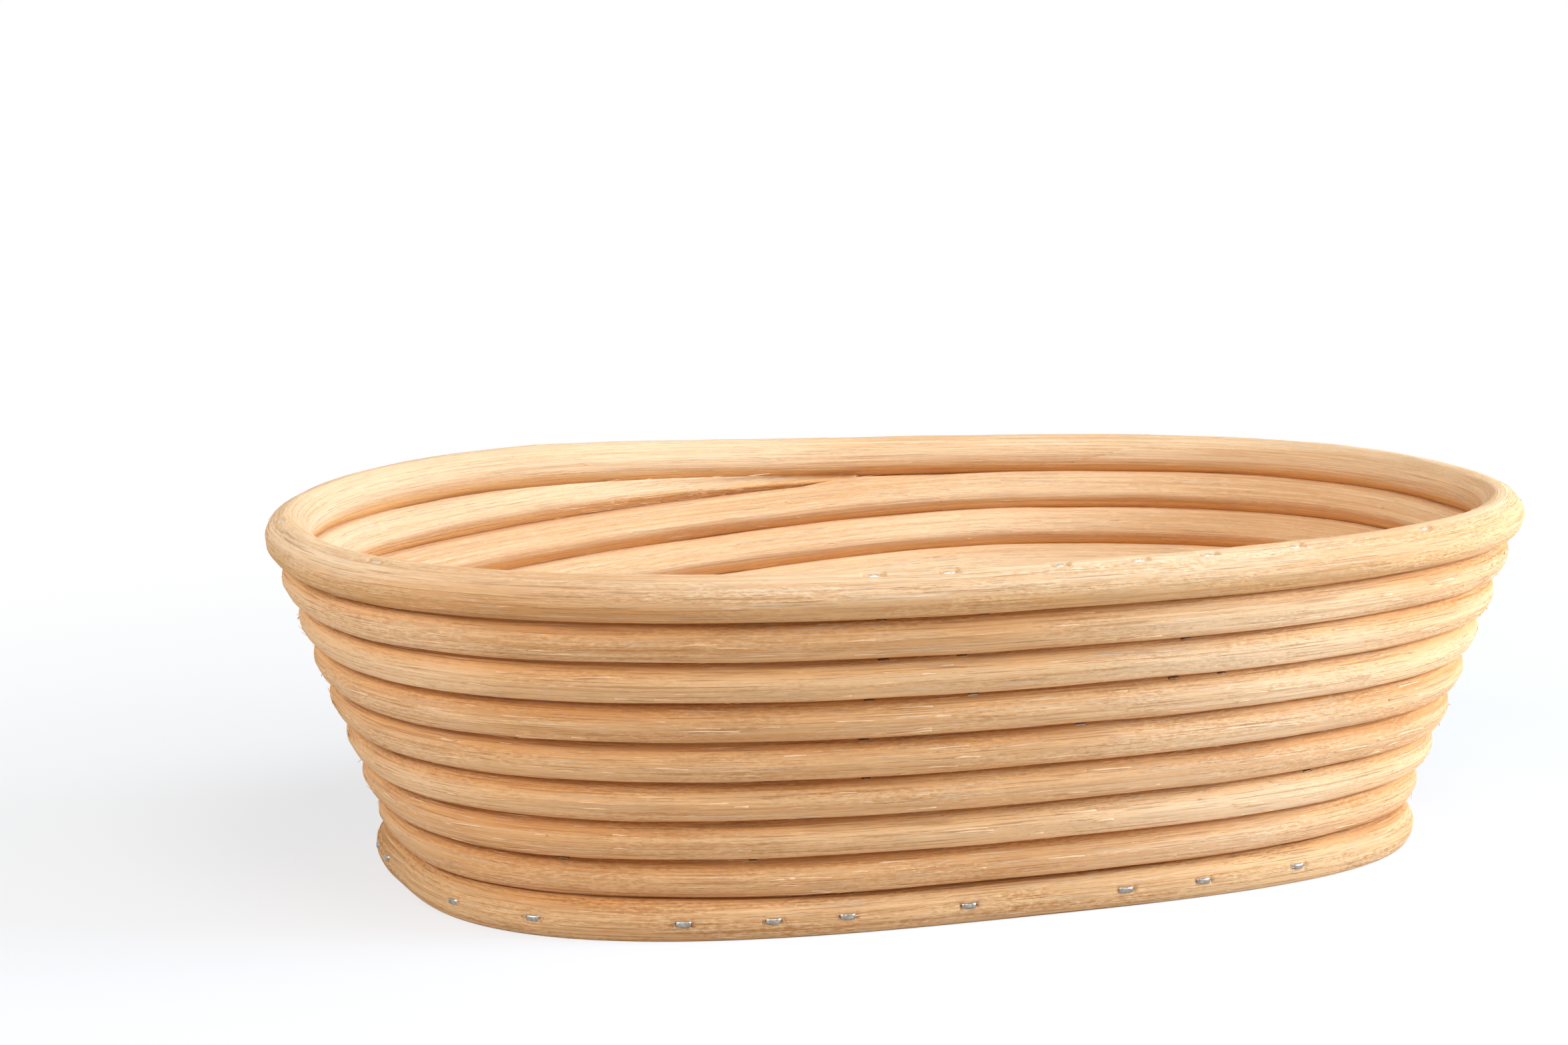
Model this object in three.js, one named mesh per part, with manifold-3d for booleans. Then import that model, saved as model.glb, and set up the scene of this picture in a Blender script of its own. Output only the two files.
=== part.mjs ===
// Oval bread proofing basket of rattan cane.
//
// A floor of straight slats lies inside a bent base ring. One long cane is wound on that ring in level
// turns that flare outwards. It climbs from turn to turn only along the far wall, and both of its ends
// are shaved to a taper. A rim ring closes the top. Wire staples hold the rings to what they rest on.
//
// Millimetres, +Z up, +X along the basket, origin on the table under the middle of the floor.

import * as THREE from 'three';
import { mergeVertices } from 'three/addons/utils/BufferGeometryUtils.js';
import Module from 'manifold-3d';

// Outside sizes of the bent rings, and how square each oval is (2 is an ellipse)
const RIM_LENGTH = 279;
const RIM_WIDTH = 183;
const RIM_SQUARENESS = 2.35;
const FIRST_TURN_LENGTH = 233;
const FIRST_TURN_WIDTH = 142;
const FIRST_TURN_SQUARENESS = 2.58;
const BASE_LENGTH = 232;
const BASE_WIDTH = 140;
const BASE_SQUARENESS = 3;

// Cane diameters, how deep the wall's inner side is sanded flat, and the clearances between canes
const RIM_CANE = 9;
const WALL_CANE = 8.5;
const BASE_CANE = 9.6;
const SANDED_DEPTH = 0.7;
const TURN_GAP = 0.6;
const SEAT_GAP = 0.3;
const BASE_FLAT = 1.4;

// The winding: turns, where in a round it climbs, and how much of that climb each tapered end fills
const TURNS = 7;
const CLIMB_FROM = 135;
const CLIMB_ANGLE = 73;
const TAPER_ANGLE = 54;

// How far the thick tail pushes the rim up, where that is, and how wide the rise spreads
const RIM_LIFT = 3.2;
const LIFT_AT = 121;
const LIFT_SPREAD = 31;

// Scarf joints of the two rings: where they start, their extent in degrees and the blunt tip's height
const RIM_SCARF_AT = 41;
const BASE_SCARF_AT = 84;
const SCARF_ANGLE = 22;
const SCARF_TIP = 1;

// Floor slats
const SLAT_COUNT = 13;
const SLAT_THICKNESS = 7.4;
const SLAT_SQUARENESS = 3;
const SLAT_GAP = 0.3;
const SLAT_CLEARANCE = 0.6;
const EDGING_WIDTH = 2.75;
const EDGING_TIP_WIDTH = 0.9;

// Wire staples: crown, wire and legs, how deep the crown sits, and the play around the wire
const STAPLE_CROWN = 4;
const STAPLE_LEG = 15;
const WIRE_WIDTH = 1.2;
const WIRE_THICKNESS = 0.8;
const STAPLE_RECESS = 0.35;
const STAPLE_PLAY = 0.3;

// Where the staples sit round each ring, in degrees from +X
const BASE_STAPLES_AT = [8, 24, 39, 52, 64, 75, 112, 123, 135, 148, 162, 178, 203, 216, 232, 242, 249, 262,
  280, 289, 302];
const RIM_STAPLES_AT = [10, 27, 36, 52, 68, 80, 96, 110, 128, 149, 169, 203, 251, 257, 267, 275, 283, 291,
  307, 343];

// Facets
const LOOP_STEPS = 40;
const RING_STEPS = 54;
const WALL_SIDES = 10;
const RING_SIDES = 12;
const SLAT_SIDES = 12;
const EDGING_STEPS = 8;
const GAP_SAMPLES_PER_TURN = 360;

const rad = THREE.MathUtils.degToRad;
const UP = new THREE.Vector3(0, 0, 1);
const RIM_LEVEL = TURNS + 1;

// Centre line of an oval ring from its outside size
function ovalOf(length, width, cane, squareness) {
  return { a: (length - cane) / 2, b: (width - cane) / 2, squareness };
}

const baseOval = ovalOf(BASE_LENGTH, BASE_WIDTH, BASE_CANE, BASE_SQUARENESS);
const firstOval = ovalOf(FIRST_TURN_LENGTH, FIRST_TURN_WIDTH, WALL_CANE, FIRST_TURN_SQUARENESS);
const rimOval = ovalOf(RIM_LENGTH, RIM_WIDTH, RIM_CANE, RIM_SQUARENESS);

function mixOvals(from, to, share) {
  const mix = THREE.MathUtils.lerp;
  return {
    a: mix(from.a, to.a, share),
    b: mix(from.b, to.b, share),
    squareness: mix(from.squareness, to.squareness, share),
  };
}

// Rise from one ring to the next when their canes lie a given distance apart. The first turn rests on
// the base ring where it steps out least; the others step out evenly.
function riseBetween(lower, upper, distance, resting) {
  const steps = [upper.a - lower.a, upper.b - lower.b];
  const step = resting ? Math.min(...steps.map(Math.abs)) : (steps[0] + steps[1]) / 2;
  return Math.sqrt(distance ** 2 - step ** 2);
}

// Rings from the base (level 0) through the turns to the rim, each with its height
function stackLevels() {
  const levels = [{ ...baseOval, z: BASE_CANE / 2 - BASE_FLAT }];
  for (let level = 1; level <= RIM_LEVEL; level += 1) {
    const oval = mixOvals(firstOval, rimOval, (level - 1) / TURNS);
    let distance = WALL_CANE + TURN_GAP;
    if (level === 1) distance = (BASE_CANE + WALL_CANE) / 2 + SEAT_GAP;
    if (level === RIM_LEVEL) distance = (WALL_CANE + RIM_CANE) / 2 + SEAT_GAP;
    const below = levels[level - 1];
    levels.push({ ...oval, z: below.z + riseBetween(below, oval, distance, level === 1) });
  }
  return levels;
}

const levels = stackLevels();
const LEAN = Math.atan2(
  (rimOval.a - firstOval.a + rimOval.b - firstOval.b) / 2,
  levels[RIM_LEVEL].z - levels[1].z,
);

function levelAt(level) {
  const lower = Math.min(Math.floor(level), RIM_LEVEL - 1);
  const share = level - lower;
  const oval = mixOvals(levels[lower], levels[lower + 1], share);
  return { ...oval, z: THREE.MathUtils.lerp(levels[lower].z, levels[lower + 1].z, share) };
}

// The tail's push is strongest at the rim and fades towards the base
function liftAt(level, angle) {
  const turn = THREE.MathUtils.euclideanModulo(angle - LIFT_AT + 180, 360) - 180;
  return RIM_LIFT * Math.exp(-((turn / LIFT_SPREAD) ** 2)) * (level / RIM_LEVEL) ** 2;
}

function ovalPoint(oval, angle) {
  const c = Math.cos(rad(angle));
  const s = Math.sin(rad(angle));
  const power = oval.squareness;
  const reach = (Math.abs(c) ** power + Math.abs(s) ** power) ** (-1 / power);
  return new THREE.Vector3(oval.a * reach * c, oval.b * reach * s, 0);
}

function centreAt(level, angle) {
  const oval = levelAt(level);
  const point = ovalPoint(oval, angle);
  point.z = oval.z + liftAt(level, angle);
  return point;
}

// Cane centre with its section's axes: out of the basket, and up along the wall's lean
function stationAt(level, angle, lean) {
  const nudge = 0.5;
  const oval = levelAt(level);
  const along = ovalPoint(oval, angle + nudge).sub(ovalPoint(oval, angle - nudge)).normalize();
  const flatOut = along.clone().cross(UP);
  const out = flatOut.clone().multiplyScalar(Math.cos(lean)).addScaledVector(UP, -Math.sin(lean));
  const up = flatOut.clone().multiplyScalar(Math.sin(lean)).addScaledVector(UP, Math.cos(lean));
  return { centre: centreAt(level, angle), along, flatOut, out, up };
}

// A round section shaved flat at a height above or below its centre. Points keep their order, so that a
// shaved section lofts to a whole one: those of the shaved cap move onto the flat.
function shaveTop(points, radius, limit) {
  if (limit >= radius) return points;
  const capEdge = Math.PI * 0.3;
  const edge = Math.max(Math.acos(limit / radius), capEdge);
  return points.map(({ angle }) => {
    const size = Math.abs(angle);
    if (size < capEdge) {
      const across = radius * Math.sin(edge) * (angle / capEdge);
      return { angle, u: across, v: Math.min(limit, Math.sqrt(radius ** 2 - across ** 2)) };
    }
    const moved = edge + ((size - capEdge) * (Math.PI - edge)) / (Math.PI - capEdge);
    return { angle, u: Math.sign(angle) * radius * Math.sin(moved), v: radius * Math.cos(moved) };
  });
}

function roundSection(radius, sides) {
  const points = [];
  for (let i = 0; i < sides; i += 1) {
    let angle = ((i + 0.5) / sides) * 2 * Math.PI;
    if (angle > Math.PI) angle -= 2 * Math.PI;
    points.push({ angle, u: radius * Math.sin(angle), v: radius * Math.cos(angle) });
  }
  return points;
}

// Section between two heights; only one of them cuts deep, the other may take a shallow flat
function shavedSection(radius, sides, low, high) {
  let points = roundSection(radius, sides);
  if (radius - high >= radius + low) {
    points = shaveTop(points, radius, high);
    return points.map(({ u, v }) => ({ u, v: Math.max(v, low) }));
  }
  const flipped = points.map(({ angle }) => ({ angle: Math.sign(angle) * Math.PI - angle })).reverse();
  points = shaveTop(flipped, radius, -low).reverse();
  return points.map(({ u, v }) => ({ u, v: Math.min(-v, high) }));
}

function placeSection(station, section) {
  const { centre, out, up } = station;
  return section.map(({ u, v }) => centre.clone().addScaledVector(out, u).addScaledVector(up, v));
}

// Closed solid lofted through rings of points, with a fan over each end
function loft(rings) {
  const sides = rings[0].length;
  const last = (rings.length - 1) * sides;
  const faces = [];
  for (let k = 0; k < rings.length - 1; k += 1) {
    for (let i = 0; i < sides; i += 1) {
      const a = k * sides + i;
      const b = k * sides + ((i + 1) % sides);
      faces.push(a, b, b + sides, a, b + sides, a + sides);
    }
  }
  for (let i = 1; i < sides - 1; i += 1) {
    faces.push(0, i + 1, i);
    faces.push(last, last + i, last + i + 1);
  }
  const geometry = new THREE.BufferGeometry().setFromPoints(rings.flat());
  geometry.setIndex(faces);
  return geometry;
}

// Joining and cutting of closed solids
const wasm = await Module();
wasm.setup();

function solidOf(geometry) {
  const bare = geometry.clone();
  bare.deleteAttribute('normal');
  bare.deleteAttribute('uv');
  const merged = mergeVertices(bare);
  return new wasm.Manifold(new wasm.Mesh({
    numProp: 3,
    vertProperties: Float32Array.from(merged.attributes.position.array),
    triVerts: Uint32Array.from(merged.index.array),
  }));
}

function geometryOf(solid) {
  const { vertProperties, triVerts } = solid.getMesh();
  const geometry = new THREE.BufferGeometry();
  geometry.setAttribute('position', new THREE.BufferAttribute(vertProperties, 3));
  geometry.setIndex(new THREE.BufferAttribute(triVerts, 1));
  return geometry;
}

// Cuts tools out of a piece, and keeps its main body where a cut frees a splinter
function cut(geometry, tools) {
  const pieces = solidOf(geometry).subtract(tools).decompose();
  pieces.sort((a, b) => b.volume() - a.volume());
  return geometryOf(pieces[0]);
}

// One wire staple: crown along X, legs down Y to chisel points, wire width along Z
function stapleGeometry() {
  const half = STAPLE_CROWN / 2;
  const inner = half - WIRE_THICKNESS;
  const point = STAPLE_LEG - WIRE_THICKNESS;
  const outline = new THREE.Shape([
    new THREE.Vector2(-half, 0),
    new THREE.Vector2(-half, -STAPLE_LEG),
    new THREE.Vector2(-inner, -point),
    new THREE.Vector2(-inner, -WIRE_THICKNESS),
    new THREE.Vector2(inner, -WIRE_THICKNESS),
    new THREE.Vector2(inner, -point),
    new THREE.Vector2(half, -STAPLE_LEG),
    new THREE.Vector2(half, 0),
  ]);
  const geometry = new THREE.ExtrudeGeometry(outline, { depth: WIRE_WIDTH, bevelEnabled: false });
  return geometry.translate(0, 0, -WIRE_WIDTH / 2);
}

// The hole that a staple makes: its outline with play all round, open to the cane's surface
function stapleHoleGeometry(openTo) {
  const half = STAPLE_CROWN / 2 + STAPLE_PLAY;
  const inner = STAPLE_CROWN / 2 - WIRE_THICKNESS - STAPLE_PLAY;
  const bottom = STAPLE_LEG + STAPLE_PLAY;
  const under = WIRE_THICKNESS + STAPLE_PLAY;
  const depth = WIRE_WIDTH + 2 * STAPLE_PLAY;
  const outline = new THREE.Shape([
    new THREE.Vector2(-half, openTo),
    new THREE.Vector2(-half, -bottom),
    new THREE.Vector2(-inner, -bottom),
    new THREE.Vector2(-inner, -under),
    new THREE.Vector2(inner, -under),
    new THREE.Vector2(inner, -bottom),
    new THREE.Vector2(half, -bottom),
    new THREE.Vector2(half, openTo),
  ]);
  const geometry = new THREE.ExtrudeGeometry(outline, { depth, bevelEnabled: false });
  return geometry.translate(0, 0, -depth / 2);
}

// Staple's place in a ring: its legs run against the outward axis, through the cane's middle
function staplePlace(station, axis, cane) {
  const side = station.along.clone().cross(axis);
  const place = new THREE.Matrix4().makeBasis(station.along, axis, side);
  return place.setPosition(station.centre.clone().addScaledVector(axis, cane / 2 - STAPLE_RECESS));
}

function basePlaces() {
  return BASE_STAPLES_AT.map((angle) => {
    const station = stationAt(0, angle, 0);
    return staplePlace(station, station.flatOut, BASE_CANE);
  });
}

function rimPlaces() {
  return RIM_STAPLES_AT.map((angle) => {
    const station = stationAt(RIM_LEVEL, angle, LEAN);
    return staplePlace(station, station.up, RIM_CANE);
  });
}

function stapleHoles(places, cane) {
  const hole = stapleHoleGeometry(cane / 2);
  return places
    .map((place) => solidOf(hole.clone().applyMatrix4(place)))
    .reduce((all, one) => all.add(one));
}

// A bent ring whose two ends overlap in a scarf: the starting end lies over the closing end
function ringGeometry(level, cane, lean, scarfAt, bottom) {
  const radius = cane / 2;
  const fall = cane / SCARF_ANGLE;
  const tipAngle = (SCARF_TIP + SEAT_GAP / 2) / fall;
  const from = scarfAt + tipAngle;
  const to = scarfAt + 360 + SCARF_ANGLE - tipAngle;
  const rings = [];
  for (let i = 0; i <= RING_STEPS; i += 1) {
    const angle = from + ((to - from) * i) / RING_STEPS;
    const startPlane = radius - (angle - scarfAt) * fall + SEAT_GAP / 2;
    const closePlane = radius - (angle - scarfAt - 360) * fall - SEAT_GAP / 2;
    const low = Math.max(bottom, startPlane);
    const high = Math.min(radius, closePlane);
    rings.push(placeSection(stationAt(level, angle, lean), shavedSection(radius, RING_SIDES, low, high)));
  }
  return loft(rings);
}

// Level of the winding after it has run some degrees from where its first climb begins
function windingLevel(run) {
  const turn = Math.floor(run / 360);
  const climbed = THREE.MathUtils.smoothstep(run - turn * 360, 0, CLIMB_ANGLE);
  return turn + climbed;
}

const WINDING_FROM = CLIMB_ANGLE - TAPER_ANGLE;
const WINDING_TO = TURNS * 360 + TAPER_ANGLE;

// The one wall cane, sanded flat on its inner side, and shaved where it starts on the base ring and where
// it ends under the rim
function windingGeometry() {
  const radius = WALL_CANE / 2;
  const steps = Math.round(((WINDING_TO - WINDING_FROM) / 360) * LOOP_STEPS);
  const rings = [];
  for (let i = steps; i >= 0; i -= 1) {
    const run = WINDING_FROM + ((WINDING_TO - WINDING_FROM) * i) / steps;
    const angle = CLIMB_FROM - run;
    const level = windingLevel(run);
    const station = stationAt(level, angle, LEAN);
    let low = -radius;
    let high = radius;
    if (level < 1) {
      const overBase = station.centre.clone().sub(centreAt(0, angle)).dot(station.up);
      low = Math.max(low, BASE_CANE / 2 + SEAT_GAP - overBase);
    }
    if (level > TURNS) {
      const underRim = centreAt(RIM_LEVEL, angle).sub(station.centre).dot(station.up);
      high = Math.min(high, underRim - RIM_CANE / 2 - SEAT_GAP);
    }
    const section = shavedSection(radius, WALL_SIDES, low, high);
    const sanded = section.map(({ u, v }) => ({ u: Math.max(u, SANDED_DEPTH - radius), v }));
    rings.push(placeSection(station, sanded));
  }
  return loft(rings);
}

// Least gap between neighbouring turns of the winding, measured on points of its centre line
function windingGap() {
  const stride = 360 / GAP_SAMPLES_PER_TURN;
  const points = [];
  for (let run = WINDING_FROM; run <= WINDING_TO; run += stride) {
    points.push(centreAt(windingLevel(run), CLIMB_FROM - run));
  }
  const window = Math.round(GAP_SAMPLES_PER_TURN / 24);
  let least = Infinity;
  points.forEach((point, i) => {
    const opposite = i + GAP_SAMPLES_PER_TURN;
    for (let j = opposite - window; j <= opposite + window && j < points.length; j += 1) {
      least = Math.min(least, point.distanceTo(points[j]));
    }
  });
  return least - WALL_CANE;
}

// Space inside the base ring that the floor fills
const floorOval = {
  a: baseOval.a - BASE_CANE / 2 - SEAT_GAP,
  b: baseOval.b - BASE_CANE / 2 - SEAT_GAP,
  squareness: baseOval.squareness,
};
const SLAT_PITCH = (2 * (floorOval.b - EDGING_WIDTH) - SLAT_GAP) / SLAT_COUNT;
const SLAT_WIDTH = SLAT_PITCH - SLAT_GAP;
const SLAT_MIDDLE = SLAT_CLEARANCE + SLAT_THICKNESS / 2;

// Half length of the floor at a distance from its middle line
function floorReach(y) {
  const { a, b, squareness } = floorOval;
  return a * (1 - (Math.abs(y) / b) ** squareness) ** (1 / squareness);
}

// A straight slat, domed above and below, whose ends are cut along the base ring
function slatGeometry(middle) {
  const left = [];
  const right = [];
  for (let i = 0; i < SLAT_SIDES; i += 1) {
    const angle = ((i + 0.5) / SLAT_SIDES) * 360;
    const oval = { a: SLAT_WIDTH / 2, b: SLAT_THICKNESS / 2, squareness: SLAT_SQUARENESS };
    const point = ovalPoint(oval, angle);
    const y = middle + point.x;
    const z = SLAT_MIDDLE + point.y;
    left.push(new THREE.Vector3(-floorReach(y), y, z));
    right.push(new THREE.Vector3(floorReach(y), y, z));
  }
  return loft([left, right]);
}

// The strip left beside the outermost slat: straight inside, bent along the ring outside, ends square
function edgingGeometry(side) {
  const inner = floorOval.b - EDGING_WIDTH;
  const reach = floorReach(inner + EDGING_TIP_WIDTH);
  const { a, b, squareness } = floorOval;
  const outline = new THREE.Shape();
  outline.moveTo(reach, inner * side);
  for (let i = 0; i <= EDGING_STEPS; i += 1) {
    const x = reach * (1 - (2 * i) / EDGING_STEPS);
    outline.lineTo(x, side * b * (1 - (Math.abs(x) / a) ** squareness) ** (1 / squareness));
  }
  outline.lineTo(-reach, inner * side);
  outline.closePath();
  const geometry = new THREE.ExtrudeGeometry(outline, { depth: SLAT_THICKNESS, bevelEnabled: false });
  return geometry.translate(0, 0, SLAT_CLEARANCE);
}

const basket = new THREE.Group();

function addPiece(name, geometry, look) {
  geometry.computeVertexNormals();
  const mesh = new THREE.Mesh(geometry, new THREE.MeshStandardMaterial(look));
  mesh.name = name;
  basket.add(mesh);
  return mesh;
}

const twoDigits = (number) => String(number).padStart(2, '0');
const WALL_LOOK = { color: 0xe8c394, roughness: 0.72, metalness: 0 };
const RIM_LOOK = { color: 0xecca9d, roughness: 0.72, metalness: 0 };
const BASE_LOOK = { color: 0xe6c092, roughness: 0.74, metalness: 0 };
const SLAT_LOOK = { color: 0xecc89c, roughness: 0.74, metalness: 0 };
const WIRE_LOOK = { color: 0xb4b0aa, roughness: 0.35, metalness: 1 };

const baseStaples = basePlaces();
const rimStaples = rimPlaces();
const baseHoles = stapleHoles(baseStaples, BASE_CANE);
const rimHoles = stapleHoles(rimStaples, RIM_CANE);

const baseRing = ringGeometry(0, BASE_CANE, 0, BASE_SCARF_AT, BASE_FLAT - BASE_CANE / 2);
const rimRing = ringGeometry(RIM_LEVEL, RIM_CANE, LEAN, RIM_SCARF_AT, -RIM_CANE / 2);
addPiece('base_ring', cut(baseRing, baseHoles), BASE_LOOK);
addPiece('wall_cane', cut(windingGeometry(), rimHoles), WALL_LOOK);
addPiece('rim_ring', cut(rimRing, rimHoles), RIM_LOOK);

for (let i = 0; i < SLAT_COUNT; i += 1) {
  const middle = (i - (SLAT_COUNT - 1) / 2) * SLAT_PITCH;
  addPiece(`floor_slat_${twoDigits(i + 1)}`, cut(slatGeometry(middle), baseHoles), SLAT_LOOK);
}
addPiece('edging_slat_near', cut(edgingGeometry(-1), baseHoles), SLAT_LOOK);
addPiece('edging_slat_far', cut(edgingGeometry(1), baseHoles), SLAT_LOOK);

baseStaples.forEach((place, i) => {
  addPiece(`base_staple_${twoDigits(i + 1)}`, stapleGeometry(), WIRE_LOOK).applyMatrix4(place);
});
rimStaples.forEach((place, i) => {
  addPiece(`rim_staple_${twoDigits(i + 1)}`, stapleGeometry(), WIRE_LOOK).applyMatrix4(place);
});

console.log(`wall_cane: least gap between turns ${windingGap().toFixed(2)} mm`);

export default basket;
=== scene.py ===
"""Looks of the oval proofing basket: raw rattan cane, floor slats and wire staples, on a pale floor."""

import math

import bpy
import numpy as np
from mathutils import Matrix, Vector


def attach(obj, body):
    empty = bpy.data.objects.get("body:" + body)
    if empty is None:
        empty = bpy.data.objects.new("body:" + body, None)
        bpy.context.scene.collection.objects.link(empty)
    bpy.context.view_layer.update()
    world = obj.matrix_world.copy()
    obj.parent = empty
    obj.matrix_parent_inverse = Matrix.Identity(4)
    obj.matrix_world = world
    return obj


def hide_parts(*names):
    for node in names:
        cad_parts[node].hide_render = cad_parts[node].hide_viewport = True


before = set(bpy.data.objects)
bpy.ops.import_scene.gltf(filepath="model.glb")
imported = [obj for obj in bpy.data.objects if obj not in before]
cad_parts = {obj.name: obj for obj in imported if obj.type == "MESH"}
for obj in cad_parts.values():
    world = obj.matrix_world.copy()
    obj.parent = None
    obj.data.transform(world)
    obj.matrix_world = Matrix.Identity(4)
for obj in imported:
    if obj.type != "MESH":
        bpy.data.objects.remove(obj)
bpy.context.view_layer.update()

MM = 0.001

# Centre lines of the rings, in millimetres: half length, half width, squareness (2 is an ellipse)
BASE_OVAL = (110.3, 66.1, 2.93)
BASE_SHIFT = (-0.9, 1.0)
FIRST_OVAL = (112.25, 66.75, 2.58)
RIM_OVAL = (135.6, 87.0, 2.35)
TURNS = 7
RIM_LEVEL = TURNS + 1
BASE_HEIGHT = 3.4
SEAT_DISTANCE = 9.35
TURN_DISTANCE = 9.1
RIM_DISTANCE = 9.05

# Radii of the canes as they look, and the clearance that keeps the tapered ends off the rings
WALL_RADIUS = 4.62
RIM_RADIUS = 4.75
BASE_RADIUS = 4.95
TAPER_CLEARANCE = 0.05

# The winding: where in a round it climbs, and how much of a climb each tapered end fills, in degrees
CLIMB_FROM = 135.0
CLIMB_ANGLE = 73.0
TAPER_ANGLE = 54.0

# How far the thick tail pushes the rim up, where that is, and how wide the rise spreads
RIM_LIFT = 3.2
LIFT_AT = 121.0
LIFT_SPREAD = 31.0

# Scarf joints of the two rings, in degrees
RIM_SCARF_AT = 41.0
BASE_SCARF_AT = 84.0
SCARF_ANGLE = 22.0
SCARF_TIP = 0.15
SCARF_GAP = -1.2

# Floor slats
FLOOR_CLEARANCE = 0.05
SLAT_COUNT = 13
SLAT_PITCH = 8.8
SLAT_HALF_WIDTH = 4.39
SLAT_HALF_THICKNESS = 3.75
SLAT_MIDDLE = 4.3
SLAT_SQUARENESS = 2.7
EDGING_INNER = 57.3
EDGING_REACH = 47.5

# Staples: crown length, wire, legs, and where they sit round each ring in degrees
STAPLE_CROWN = 3.7
STAPLE_LEG = 15.0
BASE_STAPLE_DEPTH = -0.25
RIM_STAPLE_DEPTH = 0.35
WIRE_WIDTH = 1.2
WIRE_THICKNESS = 0.7
GROOVE_WIRE_WIDTH = 0.66
BASE_STAPLE_RAISE = 0.5
BASE_STAPLES_AT = [7.7, 24.3, 39.5, 52.4, 64.2, 75, 111.8, 122.9, 135.1, 148.5, 162.9, 172, 204, 217.7,
                   233.9, 242.5, 249.8, 262.7, 280.9, 289.9, 301.4]
RIM_STAPLES_AT = [10, 27, 36, 52, 68, 80, 96, 110, 128, 149, 169, 204, 252, 258.3, 268.1, 275.4, 282,
                  290.7, 306.6, 343]
# Staples down in the grooves: turn that they go through, and degrees round it
GROOVE_STAPLES_AT = [(7, 252.5), (7, 261.5), (6, 252.8), (6, 259.8), (5, 251.6), (5, 261.2), (4, 251.1),
                     (4, 272.4), (3, 251.4), (1, 240.1), (6, 281.4), (5, 286.2), (5, 281.2), (1, 219.9),
                     (2, 301.0), (3, 325.0), (6, 340.0), (1, 12.0), (4, 20.0), (6, 38.0), (2, 50.0),
                     (5, 64.0), (3, 78.0), (1, 88.0), (6, 97.0), (4, 108.0), (2, 118.0), (5, 141.0),
                     (3, 155.0), (6, 166.0), (1, 172.0), (4, 188.0), (2, 197.0)]
GROOVE_STAPLE_TILT = 20.5
GROOVE_STAPLE_LEG = 6.5
GROOVE_STAPLE_RAISE = 0.12
BRIGHT_GROOVE_STAPLES = (5, 7)

# Steps and sides of the meshes, and samples along the curves they follow
WALL_STEP = 1.9
RING_STEP = 0.45
SLAT_STEP = 1.5
WALL_SIDES = 40
RING_SIDES = 56
SLAT_SIDES = 32
WIRE_SIDES = 12
CURVE_SAMPLES = 20001
EDGE_SAMPLES = 721
STATION_STEP = 0.5

# Seeds of the random draws
WALL_SEED = 11
WALL_SPLINTER_SEED = 41
BASE_SEED = 21
RIM_SEED = 31
SLAT_SEED = 100
EDGING_SEED = 200


# Curves of the basket, in millimetres and degrees, on arrays of any length

def mix(a, b, share):
    return a + (b - a) * share


def ease(values, first, last):
    """Nought at the first value, one at the last, eased between."""
    share = np.clip((values - first) / (last - first), 0, 1)
    return share * share * (3 - 2 * share)


def stack_levels():
    """Half length, half width, squareness and height of each ring from the base to the rim."""
    rows = [(*BASE_OVAL, BASE_HEIGHT)]
    for level in range(1, RIM_LEVEL + 1):
        share = (level - 1) / TURNS
        oval = tuple(mix(a, b, share) for a, b in zip(FIRST_OVAL, RIM_OVAL))
        distance = {1: SEAT_DISTANCE, RIM_LEVEL: RIM_DISTANCE}.get(level, TURN_DISTANCE)
        below = rows[-1]
        steps = (oval[0] - below[0], oval[1] - below[1])
        step = min(map(abs, steps)) if level == 1 else sum(steps) / 2
        rows.append((*oval, below[3] + math.sqrt(distance ** 2 - step ** 2)))
    return np.array(rows)


LEVELS = stack_levels()
FLARE = (RIM_OVAL[0] - FIRST_OVAL[0] + RIM_OVAL[1] - FIRST_OVAL[1]) / 2
LEAN = math.atan2(FLARE, LEVELS[RIM_LEVEL, 3] - LEVELS[1, 3])


def oval_points(a, b, power, degrees):
    c = np.cos(np.radians(degrees))
    s = np.sin(np.radians(degrees))
    reach = (np.abs(c) ** power + np.abs(s) ** power) ** (-1 / power)
    return a * reach * c, b * reach * s


def lift(level, degrees):
    turn = (degrees - LIFT_AT + 180) % 360 - 180
    return RIM_LIFT * np.exp(-((turn / LIFT_SPREAD) ** 2)) * (level / RIM_LEVEL) ** 2


def swell(level, degrees):
    """How much thicker a cane looks where the rise spreads the turns, so that they still touch."""
    return 0.5 * (lift(level + 0.5, degrees) - lift(np.maximum(level - 0.5, 0), degrees))


def centres(level, degrees):
    """Centre line points of a cane at a level, which may lie between two rings."""
    level = np.broadcast_to(np.asarray(level, float), np.shape(degrees))
    lower = np.minimum(np.floor(level).astype(int), RIM_LEVEL - 1)
    rows = mix(LEVELS[lower], LEVELS[lower + 1], (level - lower)[..., None])
    at_base = np.clip(1 - level, 0, 1)
    x, y = oval_points(rows[..., 0], rows[..., 1], rows[..., 2], degrees)
    x = x + BASE_SHIFT[0] * at_base
    y = y + BASE_SHIFT[1] * at_base
    return np.stack([x, y, rows[..., 3] + lift(level, degrees)], -1)


def unit(vectors):
    return vectors / np.linalg.norm(vectors, axis=-1, keepdims=True)


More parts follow.
